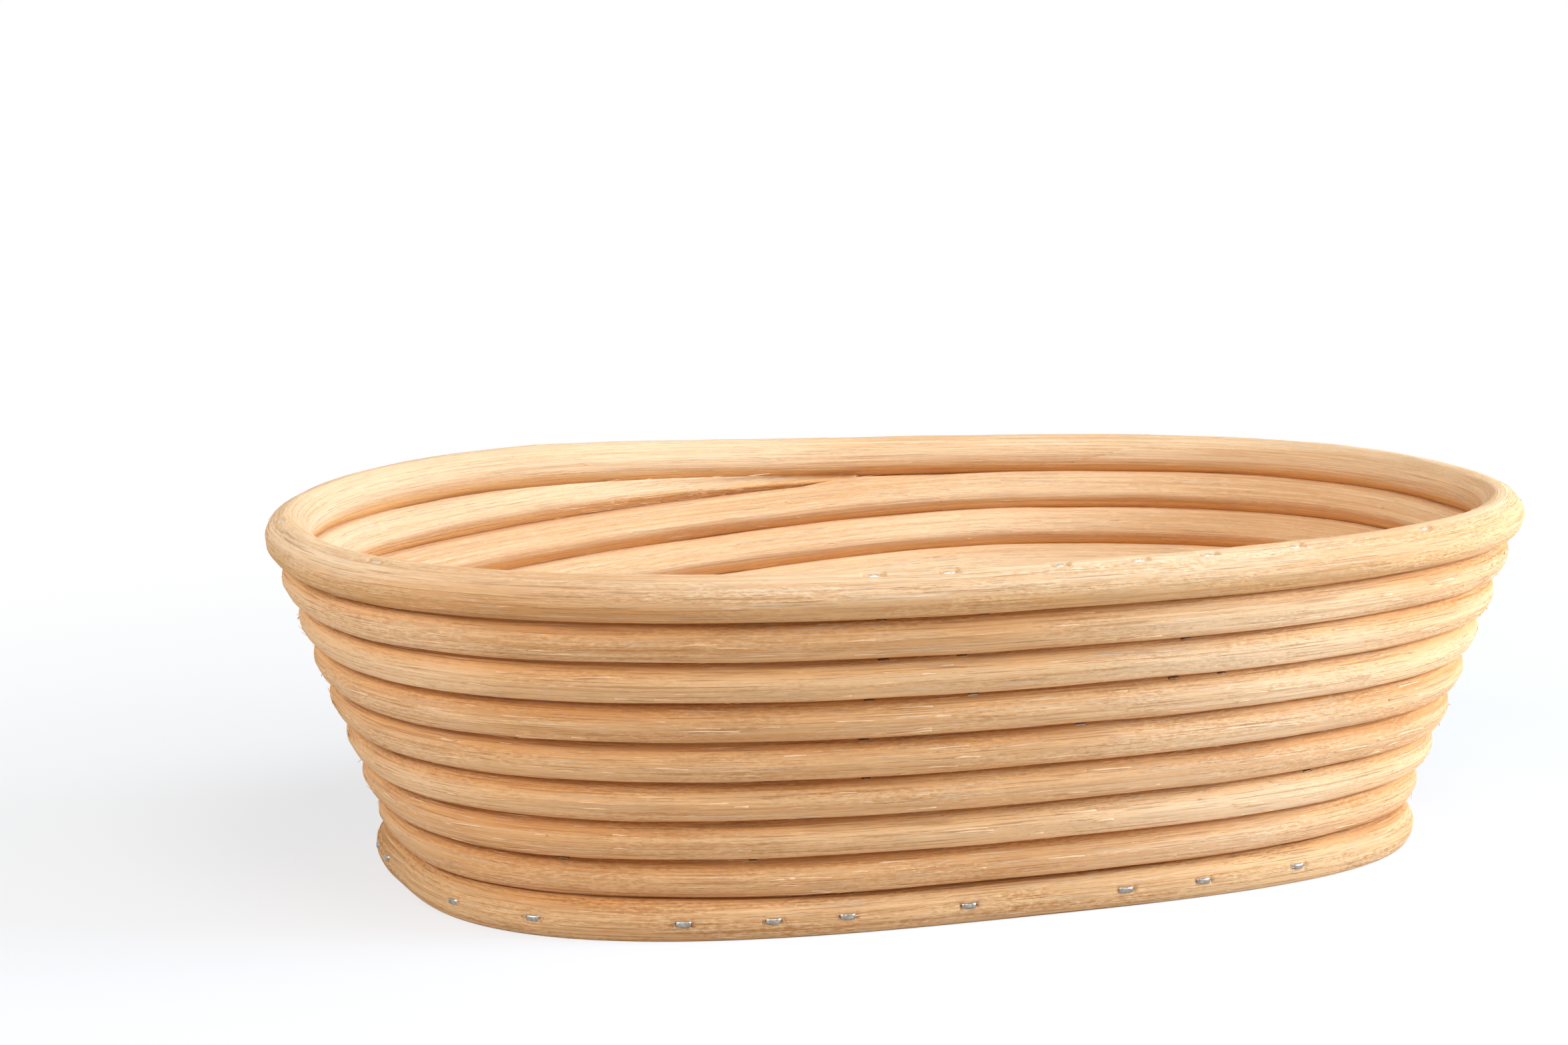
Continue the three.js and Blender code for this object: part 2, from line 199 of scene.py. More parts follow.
def axes_along(points, lean):
    """Outward and upward axes of the section at each point of a path, leaning out by an angle."""
    along = unit(np.gradient(points, axis=0))
    flat = unit(np.cross(along, (0, 0, 1)))
    middle = points[:, :2].mean(0)
    flat *= np.sign(((points[:, :2] - middle) * flat[:, :2]).sum(1))[:, None]
    rise = unit(np.cross(along, flat))
    rise *= np.sign(rise[:, 2])[:, None]
    out = flat * math.cos(lean) - rise * math.sin(lean)
    up = flat * math.sin(lean) + rise * math.cos(lean)
    return along, out, up


def even_steps(sample, start, stop, step):
    """Parameters at even distances along a curve, and those distances."""
    dense = np.linspace(start, stop, CURVE_SAMPLES)
    lengths = np.linalg.norm(np.diff(sample(dense), axis=0), axis=1)
    run = np.concatenate([[0], np.cumsum(lengths)])
    count = max(2, round(run[-1] / step))
    even = np.linspace(0, run[-1], count + 1)
    return np.interp(even, run, dense), even


# Natural unevenness of the canes, from seeded waves

# Knots and ovals as shares of the radius, ridges in millimetres, and how far ovals and ridges wander
KNOT_SIZE = 0.010
OVAL_SIZE = 0.010
OVAL_WANDER = 0.8
RIDGE_COUNTS = range(4, 12)
RIDGE_SIZE = 0.030
RIDGE_WANDER = 0.6
THIN_WOBBLE = 0.8
# Sanded faces: direction round the section in degrees, distance from its middle and wear, as shares
SANDED_FACES = ((-78, 0.83, 1.0), (-143, 0.94, -0.7), (100, 0.95, 0.3))
COARSE_WEAR = 0.016
FINE_WEAR = 0.009
LEAST_BEARING = 0.3
# Half the angle of the mesh points that form a shaved face, and a limit that shaves nothing
SHAVED_ANGLE = 0.3 * math.pi
UNSHAVED = 9.0


def waver(distance, longest, shortest, waves, rng):
    """Smooth random curve of about unit size along a distance, of waves between two lengths in mm."""
    lengths = np.exp(np.linspace(math.log(longest), math.log(shortest), waves))
    total = np.zeros_like(distance)
    for length in lengths:
        weight = math.sqrt(length / longest)
        total += weight * np.sin(2 * math.pi * (distance / length + rng.random()))
    return total / math.sqrt(waves / 2)


def cane_skin(distance, turn, radius, rng, wobble=1.0):
    """Radius of a cane over its length and round its section: knots, ovals and long worn ridges."""
    knots = KNOT_SIZE * waver(distance, 160, 14, 7, rng)
    skin = (radius * (1 + wobble * knots))[:, None] * np.ones_like(turn)[None, :]
    oval = OVAL_SIZE * waver(distance, 220, 60, 4, rng)
    wander = OVAL_WANDER * waver(distance, 300, 90, 3, rng)
    skin *= 1 + wobble * oval[:, None] * np.cos(2 * (turn[None, :] + wander[:, None]))
    for ridges in RIDGE_COUNTS:
        size = RIDGE_SIZE * waver(distance, 90, 25, 3, rng)
        phase = 2 * math.pi * rng.random() + RIDGE_WANDER * waver(distance, 260, 80, 2, rng)
        skin += wobble * size[:, None] * np.cos(ridges * turn[None, :] + phase[:, None])
    return skin


def sanded(distance, turn, skin, radius, rng):
    """The inner side of a wall cane sanded to a broad face above a torn edge, the outer side only eased."""
    worn = COARSE_WEAR * waver(distance, 60, 8, 6, rng) + FINE_WEAR * waver(distance, 8, 3, 5, rng)
    for facing, depth, share in SANDED_FACES:
        bearing = np.cos(turn - math.radians(facing))[None, :]
        face = (radius * (depth + share * worn))[:, None] / np.maximum(bearing, LEAST_BEARING)
        skin = np.minimum(skin, face)
    return skin


def shave(turn, skin, low, high):
    """Section coordinates of a cane shaved flat below low and above high; points stay apart."""
    cap = SHAVED_ANGLE
    u = skin * np.sin(turn)
    v = skin * np.cos(turn)

    def take_top(u, v, angle, limit):
        radius = skin.mean(1, keepdims=True)
        edge = np.maximum(np.arccos(np.clip(limit[:, None] / radius, -0.999, 1)), cap)
        size = np.abs(angle)
        moved = edge + (size - cap) * (math.pi - edge) / (math.pi - cap)
        across = skin * np.sin(edge) * angle / cap
        flat = np.minimum(limit[:, None], np.sqrt(np.maximum(skin ** 2 - across ** 2, 0)))
        cut_u = np.where(size < cap, across, np.sign(angle) * skin * np.sin(moved))
        cut_v = np.where(size < cap, flat, np.minimum(skin * np.cos(moved), limit[:, None]))
        cut = (limit < skin.max(1))[:, None]
        return np.where(cut, cut_u, u), np.where(cut, cut_v, v)

    angle = (turn[None, :] + math.pi) % (2 * math.pi) - math.pi
    under = turn[None, :] % (2 * math.pi) - math.pi
    top_u, top_v = take_top(u, v, angle, high)
    low_u, low_v = take_top(-u, -v, under, -low)
    deeper = ((skin.max(1) - high) >= (skin.max(1) + low))[:, None]
    u = np.where(deeper, top_u, -low_u)
    v = np.where(deeper, top_v, -low_v)
    return u, np.clip(v, low[:, None], high[:, None])


# Mesh building

def new_object(name, vertices, faces, coordinates, material, tone=None, painted_light=None):
    """Smooth mesh object from points in millimetres, with each point's place on a straight cane."""
    mesh = bpy.data.meshes.new(name)
    mesh.from_pydata((np.asarray(vertices) * MM).tolist(), [], faces)
    place = mesh.attributes.new("cane", "FLOAT_VECTOR", "POINT")
    place.data.foreach_set("vector", np.asarray(coordinates, np.float32).ravel())
    # The tone varies at random; the painted light attribute carries painted light and shade for the outer
    # side
    for kind, amount in (("tone", tone), ("painted_light", painted_light)):
        if amount is not None:
            layer = mesh.attributes.new(kind, "FLOAT", "POINT")
            layer.data.foreach_set("value", np.broadcast_to(amount, len(vertices)).astype(np.float32))
    mesh.polygons.foreach_set("use_smooth", [True] * len(mesh.polygons))
    mesh.materials.append(material)
    piece = bpy.data.objects.new(name, mesh)
    bpy.context.collection.objects.link(piece)
    return piece


def tube_faces(sections, sides, offset=0, flip=False):
    """Quads of a lofted tube and a polygon over each end."""
    k, i = np.meshgrid(np.arange(sections - 1), np.arange(sides), indexing="ij")
    a = k * sides + i
    b = k * sides + (i + 1) % sides
    quads = np.stack([a, b, b + sides, a + sides], -1).reshape(-1, 4)
    caps = [np.arange(sides)[::-1], (sections - 1) * sides + np.arange(sides)]
    if flip:
        quads = quads[:, ::-1]
        caps = [cap[::-1] for cap in caps]
    return (quads + offset).tolist() + [(cap + offset).tolist() for cap in caps]


def swept(centre, out, up, u, v):
    points = centre[:, None, :] + u[..., None] * out[:, None, :] + v[..., None] * up[:, None, :]
    return points.reshape(-1, 3)


def finish_piece(piece, slot, *nodes):
    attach(piece, "root")
    if nodes:
        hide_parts(*nodes)


# Materials

PORE = (0.42, 0.175, 0.06)
TUFT = (0.95, 0.73, 0.50)
# Painted shade: tints that darken a cane's upper outer side and its lower inner side, where the next canes
# shade the grooves
PAINTED_OUTER_GROOVE_SHADE = (0.95, 0.78, 0.58)
PAINTED_INNER_UNDERSIDE_SHADE = (0.98, 0.79, 0.51)
CANE_ROUGHNESS = 0.80
CANE_SPECULAR = 0.07
# Noise on a cane: scale along and across its fibres, offset of the seed, detail and roughness
CANE_LAYERS = {
    "bands": ((0.010, 0.45, 0.45), 0, 2.0, 0.6),
    "fibres": ((0.02, 1.7, 1.7), 11, 5.0, 0.8),
    "combed": ((0.004, 1.5, 1.5), 89, 3.0, 0.7),
    "threads": ((0.05, 5.0, 5.0), 23, 3.0, 0.7),
    "ticks": ((0.6, 2.0, 2.0), 37, 2.0, 0.6),
    "lines": ((0.035, 2.8, 2.8), 53, 3.0, 0.6),
    "patches": ((0.03, 0.26, 0.26), 71, 3.0, 0.6),
}
# Weights of the layers in the tone, and in the height of the bump
FIBRE_SHADE = 0.40
LAYER_SHADES = (("threads", 0.20), ("combed", 0.25), ("bands", 0.15))
TORN_SHADE = 0.45
TUFT_SHADE = 0.45
FIBRE_HEIGHT = 0.9
THREAD_HEIGHT = 0.4
TORN_HEIGHT = 1.6
ROUGH_HEIGHT = 0.3
BUMP_STRENGTH = 0.9
BUMP_DISTANCE = 0.0004
# Where the outer side of a section begins and is full, in millimetres from its middle
OUTSIDE_RANGE = (-1.5, 2.0)
# Least share of the painted groove shade on the side of the section that it isn't for
PAINTED_SHADE_LEAST = 0.2
PAINTED_SHADE_SPAN = 0.8
SCRATCH_SCALE = 1500.0


def node(tree, kind, **settings):
    """A new node, with values for its sockets or its own settings."""
    made = tree.nodes.new(kind)
    for key, value in settings.items():
        if key in made.inputs:
            made.inputs[key].default_value = value
        else:
            setattr(made, key, value)
    return made


def ramp(tree, source, stops):
    """Ramp between two grey levels: position and value of each."""
    made = tree.nodes.new("ShaderNodeValToRGB")
    for element, (position, value) in zip(made.color_ramp.elements, stops):
        element.position = position
        element.color = (value, value, value, 1)
    tree.links.new(source, made.inputs["Fac"])
    return made.outputs["Color"]


def stretched_noise(tree, place, scale, offset, detail, roughness):
    """Noise in straight-cane space, drawn out along the fibres."""
    mapping = node(tree, "ShaderNodeMapping")
    mapping.inputs["Scale"].default_value = scale
    mapping.inputs["Location"].default_value = (offset, offset * 0.37, offset * 0.71)
    tree.links.new(place, mapping.inputs["Vector"])
    noise = node(tree, "ShaderNodeTexNoise", Scale=1.0, Detail=detail, Roughness=roughness)
    tree.links.new(mapping.outputs["Vector"], noise.inputs["Vector"])
    return noise.outputs["Fac"]


def blend_colour(tree, factor, first, second, mode="MIX"):
    made = tree.nodes.new("ShaderNodeMix")
    made.data_type = "RGBA"
    made.blend_type = mode
    tree.links.new(factor, made.inputs["Factor"])
    for socket, value in ((made.inputs["A"], first), (made.inputs["B"], second)):
        if isinstance(value, tuple):
            socket.default_value = (*value, 1)
        else:
            tree.links.new(value, socket)
    return made.outputs["Result"]


def maths(tree, operation, *values):
    made = tree.nodes.new("ShaderNodeMath")
    made.operation = operation
    for socket, value in zip(made.inputs, values):
        if isinstance(value, (int, float)):
            socket.default_value = value
        else:
            tree.links.new(value, socket)
    return made.outputs["Value"]


def eased(tree, value, first, last, low=0.0, high=1.0):
    """Node for a low result at the first value and a high one at the last, eased between."""
    step = tree.nodes.new("ShaderNodeMapRange")
    step.interpolation_type = "SMOOTHSTEP"
    for socket, limit in zip(("From Min", "From Max", "To Min", "To Max"), (first, last, low, high)):
        step.inputs[socket].default_value = limit
    tree.links.new(value, step.inputs["Value"])
    return step.outputs["Result"]


def cane_material(name, pale, deep, seed, painted_shade_below=None, painted_shade_above=None, outer_shade_and_light=None):
    """Raw sanded rattan: bands of tone, fibres, fine ticks and lines.

    The shade heights below and above give where in a section painted shade darkens it towards its
    lower side within and its upper side without, where the next canes shade the grooves. The outer
    tints are painted shade on the outer side where its painted light is nought, and painted light
    where that is one.
    """
    material = bpy.data.materials.new(name)
    material.use_nodes = True
    tree = material.node_tree
    shader = tree.nodes["Principled BSDF"]
    shader.inputs["Roughness"].default_value = CANE_ROUGHNESS
    shader.inputs["Specular IOR Level"].default_value = CANE_SPECULAR
    place = node(tree, "ShaderNodeAttribute", attribute_name="cane").outputs["Vector"]
    tone = node(tree, "ShaderNodeAttribute", attribute_name="tone").outputs["Fac"]

    layers = {}
    for layer, (scale, offset, detail, roughness) in CANE_LAYERS.items():
        layers[layer] = stretched_noise(tree, place, scale, seed + offset, detail, roughness)

    section = node(tree, "ShaderNodeSeparateXYZ")
    tree.links.new(place, section.inputs["Vector"])
    outside = eased(tree, section.outputs["Y"], *OUTSIDE_RANGE)

    torn_area = ramp(tree, layers["patches"], [(0.43, 0.15), (0.57, 1.0)])
    torn_area = maths(tree, "MULTIPLY", torn_area, maths(tree, "MULTIPLY_ADD", outside, 0.7, 0.3))
    torn = maths(tree, "MULTIPLY", maths(tree, "SUBTRACT", layers["ticks"], 0.5), torn_area)
    shade = maths(tree, "MULTIPLY", layers["fibres"], FIBRE_SHADE)
    for layer, weight in LAYER_SHADES:
        shade = maths(tree, "MULTIPLY_ADD", layers[layer], weight, shade)
    shade = maths(tree, "ADD", shade, maths(tree, "MULTIPLY", torn, TORN_SHADE))
    shade = maths(tree, "ADD", shade, tone)
    colour = blend_colour(tree, ramp(tree, shade, [(0.41, 1.0), (0.57, 0.0)]), pale, deep)
    # Painted shade and light on the outer side: darker and warmer where the painted light attribute is
    # nought, paler where it is one
    if outer_shade_and_light:
        painted_light = node(tree, "ShaderNodeAttribute", attribute_name="painted_light").outputs["Fac"]
        colour = blend_colour(tree, outside, colour, blend_colour(tree, painted_light, *outer_shade_and_light), "MULTIPLY")
    inside = maths(tree, "SUBTRACT", 1.0, outside)
    # Painted shade in the grooves: darker towards the lower side within and the upper side without
    painted_shades = ((painted_shade_below, -1.0, inside, PAINTED_INNER_UNDERSIDE_SHADE), (painted_shade_above, 1.0, outside, PAINTED_OUTER_GROOVE_SHADE))
    for limit, sign, where, tint in painted_shades:
        if limit:
            sunk = eased(tree, maths(tree, "MULTIPLY", section.outputs["Z"], sign), *limit)
            share = maths(tree, "ADD", maths(tree, "MULTIPLY", where, PAINTED_SHADE_SPAN), PAINTED_SHADE_LEAST)
            colour = blend_colour(tree, maths(tree, "MULTIPLY", sunk, share), colour, tint, "MULTIPLY")
    splits = ramp(tree, layers["lines"], [(0.36, 1.0), (0.41, 0.0)])
    splits = maths(tree, "MULTIPLY", splits, maths(tree, "MULTIPLY_ADD", outside, 0.40, 0.15))
    colour = blend_colour(tree, splits, colour, PORE)
    tufts = ramp(tree, layers["lines"], [(0.61, 0.0), (0.66, 1.0)])
    colour = blend_colour(tree, maths(tree, "MULTIPLY", tufts, TUFT_SHADE), colour, TUFT)
    tree.links.new(colour, shader.inputs["Base Color"])

    rough = maths(tree, "SUBTRACT", tufts, splits)
    height = maths(tree, "MULTIPLY", layers["fibres"], FIBRE_HEIGHT)
    for layer, weight in ((layers["threads"], THREAD_HEIGHT), (torn, TORN_HEIGHT), (rough, ROUGH_HEIGHT)):
        height = maths(tree, "ADD", height, maths(tree, "MULTIPLY", layer, weight))
    bump = node(tree, "ShaderNodeBump", Strength=BUMP_STRENGTH, Distance=BUMP_DISTANCE)
    tree.links.new(height, bump.inputs["Height"])
    tree.links.new(bump.outputs["Normal"], shader.inputs["Normal"])
    return material


def wire_material(name, dark, bright):
    """Drawn wire with fine scratches."""
    material = bpy.data.materials.new(name)
    material.use_nodes = True
    tree = material.node_tree
    shader = tree.nodes["Principled BSDF"]
    shader.inputs["Metallic"].default_value = 1.0
    place = node(tree, "ShaderNodeTexCoord").outputs["Object"]
    scratches = node(tree, "ShaderNodeTexNoise", Scale=SCRATCH_SCALE, Detail=3.0)
    tree.links.new(place, scratches.inputs["Vector"])
    fac = scratches.outputs["Fac"]
    colour = blend_colour(tree, ramp(tree, fac, [(0.35, 0.0), (0.7, 1.0)]), dark, bright)
    tree.links.new(colour, shader.inputs["Base Color"])
    tree.links.new(ramp(tree, fac, [(0.3, 0.3), (0.7, 0.5)]), shader.inputs["Roughness"])
    return material


# The wall and rim carry painted groove shade, and painted shade and light on their outer side
WALL = cane_material("wall_cane", (0.90, 0.605, 0.34), (0.73, 0.405, 0.185), 3.0,
                     painted_shade_below=(2.0, 4.3), painted_shade_above=(1.6, 4.3),
                     outer_shade_and_light=((0.92, 0.80, 0.67), (1.0, 0.96, 0.94)))
RIM = cane_material("rim_cane", (0.89, 0.61, 0.35), (0.73, 0.405, 0.185), 131.0,
                    painted_shade_below=(1.8, 4.4), outer_shade_and_light=((0.87, 0.74, 0.58), (1.0, 1.03, 1.10)))
# The base ring's colours have the outer side's painted shade built in, darker and warmer than the wall's;
# its upper side gets painted shade where the first turn sits on it
BASE = cane_material("base_cane", (0.78, 0.47, 0.225), (0.51, 0.23, 0.078), 277.0,
                     painted_shade_above=(2.4, 4.6))
SLAT = cane_material("slat_cane", (0.885, 0.595, 0.345), (0.70, 0.375, 0.17), 409.0)
FRAY = cane_material("frayed_cane", (0.86, 0.54, 0.29), (0.77, 0.44, 0.21), 523.0)
WIRE = wire_material("staple_wire", (0.26, 0.235, 0.20), (0.46, 0.42, 0.365))
PALE_WIRE = wire_material("pale_wire", (0.55, 0.45, 0.36), (0.85, 0.76, 0.65))
# Dark brown wire for the staples in the grooves, painted shade standing in for the shadow in their holes
SHADED_GROOVE_WIRE = wire_material("shaded_groove_wire", (0.20, 0.11, 0.055), (0.34, 0.21, 0.12))


# Torn fibres that lie on a cane and lift at one end

# Kinds of splinter: ranges of lengths, widths and heights in mm, sideways drift, and thickness as a
# share of the width
LYING = ((1.5, 7.5), (0.12, 0.32), (0.10, 0.45), 0.05, 0.6)
CHIPPED = ((3.0, 12.0), (0.30, 0.75), (0.08, 0.30), 0.02, 0.25)
STANDING = ((0.6, 2.0), (0.07, 0.14), (0.30, 1.20), 0.6, 0.6)
TORN = ((2.0, 8.0), (0.15, 0.45), (0.10, 0.50), 0.06, 0.6)
# Splinters of the wall: name, kind, number, and edges as angles round the section
WALL_SPLINTERS = (("wall_slivers", LYING, 3000, None),
                  ("wall_chips", CHIPPED, 600, (55, 72, 90, 108, 125)),
                  ("wall_frays", STANDING, 500, (125, 150, 210, 244)))
TAIL_SPLINTERS = ("tail_splinters", TORN, 90, (205, 220, 235))
TORN_TAIL = 85.0
RING_SLIVERS = 350
# Sections at a cane's ends that bear none, and how far they stray from an edge, in degrees
BARE_SECTIONS = 8
EDGE_SCATTER = 8
SPLINTER_STEPS = 5
SPLINTER_TAPER = 0.75
SPLINTER_ROOT = 0.06
SPLINTER_GRAIN = (500, 9, 9)
SPLINTER_TONE = 0.15
LOWEST_SPLINTER = 0.05


def make_splinters(name, path, section, kind, count, seed, edges=None, first=BARE_SECTIONS):
    """Torn splinters along a cane, anywhere round it or at edges given as angles round its section."""
    rng = np.random.default_rng(seed)
    lengths, widths, heights, drift, thickness = kind
    sections, sides = section[0].shape
    splinters = []
    for _ in range(count):
        k = int(rng.integers(first, sections - BARE_SECTIONS))
        turn = 360 * rng.random()
        if edges:
            turn = edges[int(rng.integers(0, len(edges)))] + EDGE_SCATTER * rng.standard_normal()
        length = mix(*lengths, rng.random() ** 2) * rng.choice((-1, 1))
        height = mix(*heights, rng.random() ** 3)
        splinters.append((k, round(turn / 360 * sides) % sides, length, mix(*widths, rng.random()),
                          height, drift * rng.uniform(-1, 1)))
    return splinter_mesh(name, path, section, splinters, thickness, rng)


def splinter_mesh(name, path, section, splinters, thickness, rng):
    """One mesh of bent, tapered splinters.

    Each is given by its station, side, length, width, height and sideways drift.
    """
    centre, along, out, up = path
    u, v = section
    share = np.linspace(0, 1, SPLINTER_STEPS)
    ring = np.array([(1, 0), (0, thickness), (-1, 0), (0, -thickness)])
    size = SPLINTER_STEPS * len(ring)
    vertices, faces, places = [], [], []
    for k, j, length, width, height, drift in splinters:
        surface = u[k, j] * out[k] + v[k, j] * up[k]
        normal = unit(surface)
        side = np.cross(along[k], normal)
        middle = centre[k] + surface + np.outer(share * length, along[k] + drift * side)
        middle += np.outer(share ** 2 * height - SPLINTER_ROOT, normal)
        half = width / 2 * (1 - SPLINTER_TAPER * share)
        points = middle[:, None, :] + half[:, None, None] * (
            ring[None, :, :1] * side * np.sign(length) + ring[None, :, 1:] * normal)
        faces += tube_faces(SPLINTER_STEPS, len(ring), len(vertices) * size)
        points[..., 2] = np.maximum(points[..., 2], LOWEST_SPLINTER)
        vertices.append(points.reshape(-1, 3))
        grain = np.array([rng.random() * reach for reach in SPLINTER_GRAIN])
        places.append(np.broadcast_to(grain, (size, 3)))
    return new_object(name, np.concatenate(vertices), faces, np.concatenate(places), FRAY, SPLINTER_TONE)


# The wall cane

# How far the turns beside a tapered tip reach to meet the ring, and over which margins, in degrees
REACH_OVERLAP = 0.06
LONGEST_REACH = 2.5
REACH_EASE = 6
REACH_MARGIN = 12
WALL_SWAY = 0.10
TONE_SIZE = 0.05
# Painted light: paler stretches of the wall's outer side, where the lamps light it most: side of the
# basket, where they start and are full, and how pale
WALL_PAINTED_LIGHT = ((1, -15, 35, 1.0), (1, 55, 85, -0.7), (-1, 104, 118, 0.7))


def winding_level(run):
    turn = np.floor(run / 360)
    return turn + ease(run - turn * 360, 0, CLIMB_ANGLE)


def winding_centres(run):
    return centres(winding_level(run), CLIMB_FROM - run)


def close_gap(gap, run, first, last):
    """Extra reach of a turn over a stretch of its run, to meet the ring past a tapered tip."""
    inside = np.clip((run - first) / REACH_EASE, 0, 1) * np.clip((last - run) / REACH_EASE, 0, 1)
    return np.clip(gap + REACH_OVERLAP, 0, LONGEST_REACH) * inside


def wall_sections():
    """Stations along the wound cane, and its section at each."""
    rng = np.random.default_rng(WALL_SEED)
    start = CLIMB_ANGLE - TAPER_ANGLE
    stop = TURNS * 360 + TAPER_ANGLE
    run, distance = even_steps(winding_centres, start, stop, WALL_STEP)
    centre = winding_centres(run)
    along, out, up = axes_along(centre, LEAN)
    turn = 2 * math.pi * np.arange(WALL_SIDES) / WALL_SIDES
    level = winding_level(run)
    angle = CLIMB_FROM - run
    radius = WALL_RADIUS + swell(level, angle)
    skin = sanded(distance, turn, cane_skin(distance, turn, radius, rng), radius, rng)
    above_base = ((centre - centres(0, angle)) * up).sum(1) - BASE_RADIUS
    rim_radius = RIM_RADIUS + swell(RIM_LEVEL, angle)
    under_rim = ((centres(RIM_LEVEL, angle) - centre) * up).sum(1) - rim_radius
    low = np.where(level < 1, TAPER_CLEARANCE - above_base, -UNSHAVED)
    high = np.where(level > TURNS, under_rim - TAPER_CLEARANCE, UNSHAVED)
    u, v = shave(turn, skin, low, high)
    last = (TURNS - 1) * 360
    up_reach = close_gap(under_rim - radius, run, last + TAPER_ANGLE - REACH_EASE,
                         last + CLIMB_ANGLE + REACH_MARGIN)
    down_reach = close_gap(above_base - radius, run, 360 - REACH_MARGIN, 360 + start + REACH_EASE)
    v = v * np.where(v > 0, 1 + (up_reach / radius)[:, None], 1 + (down_reach / radius)[:, None])
    sway = WALL_SWAY * waver(distance, 200, 40, 5, rng)
    centre = centre + out * sway[:, None]
    shade = TONE_SIZE * waver(distance, 900, 120, 4, rng)
    return distance, centre, along, out, up, u, v, shade


def make_wall_cane():
    distance, centre, along, out, up, u, v, shade = wall_sections()
    vertices = swept(centre, out, up, u, v)
    place = np.stack([np.repeat(distance, WALL_SIDES), u.ravel(), v.ravel()], -1)
    faces = tube_faces(len(distance), WALL_SIDES, flip=True)
    x = centre[:, 0]
    # Painted light: paler outer side over stretches along the basket, by their X
    painted_light = sum(pale * ease(side * x, first, last) for side, first, last, pale in WALL_PAINTED_LIGHT)
    piece = new_object("wall_winding", vertices, faces, place, WALL, np.repeat(shade, WALL_SIDES),
                       np.repeat(painted_light, WALL_SIDES))
    finish_piece(piece, "wall_cane", "wall_cane")
    path = (centre, along, out, up)
    tail = int(np.searchsorted(distance, distance[-1] - TORN_TAIL))
    rows = [(*row, BARE_SECTIONS) for row in WALL_SPLINTERS] + [(*TAIL_SPLINTERS, tail)]
    for name, kind, count, edges, first in rows:
        splinters = make_splinters(name, path, (u, v), kind, count, WALL_SPLINTER_SEED, edges, first)
        finish_piece(splinters, "wall_cane")


# The bent rings

# Bed and pits pressed in by a staple: depth of the bed, half sizes, and where the pits lie, in mm
BED_REACH = 5
BED_DEPTH = 0.1
BED_HALF_LENGTH = 2.2
BED_HALF_WIDTH = 0.8
PIT_AT = 1.8
PIT_HALF_LENGTH = 0.38
PIT_HALF_WIDTH = 0.65
BASE_PIT_DEPTH = 0.8
RIM_PIT_DEPTH = 0.5
# Over this length the unevenness fades towards a scarf, to this share
SCARF_FADE = 90
SCARF_UNEVEN = 0.2
SHARP_ANGLE = 50
# Painted light: the rim is paler on top, where the light falls on it: heights in its section, and where
# along the basket this fades, and how much
RIM_LIT_HEIGHTS = (-0.5, 4.2)
RIM_LIGHT_FADE_FROM = 40
RIM_LIGHT_FADE_TO = 90
RIM_LIGHT_FADE = 0.8


def staple_beds(degrees, distance, turn, radius, staples, facing, sunk, torn):
    """Depth of the pressed bed and the two torn pits of each staple, over a ring's sections and sides."""
    depth = np.zeros((len(degrees), len(turn)))
    for place in staples:
        first = degrees[0]
        s = distance - np.interp((place - first) % 360 + first, degrees, distance)
        near = np.nonzero(np.abs(s) < BED_REACH)[0]
        across = radius * ((turn - facing + math.pi) % (2 * math.pi) - math.pi)
        s = s[near][:, None]
        across = across[None, :]
        bed = np.exp(-((s / BED_HALF_LENGTH) ** 8) - (across / BED_HALF_WIDTH) ** 6)
        pits = np.exp(-(((np.abs(s) - PIT_AT) / PIT_HALF_LENGTH) ** 4) - (across / PIT_HALF_WIDTH) ** 4)
        pressed = np.maximum((sunk + BED_DEPTH) * bed, (sunk + torn) * pits)
        depth[near] = np.maximum(depth[near], pressed)
    return depth


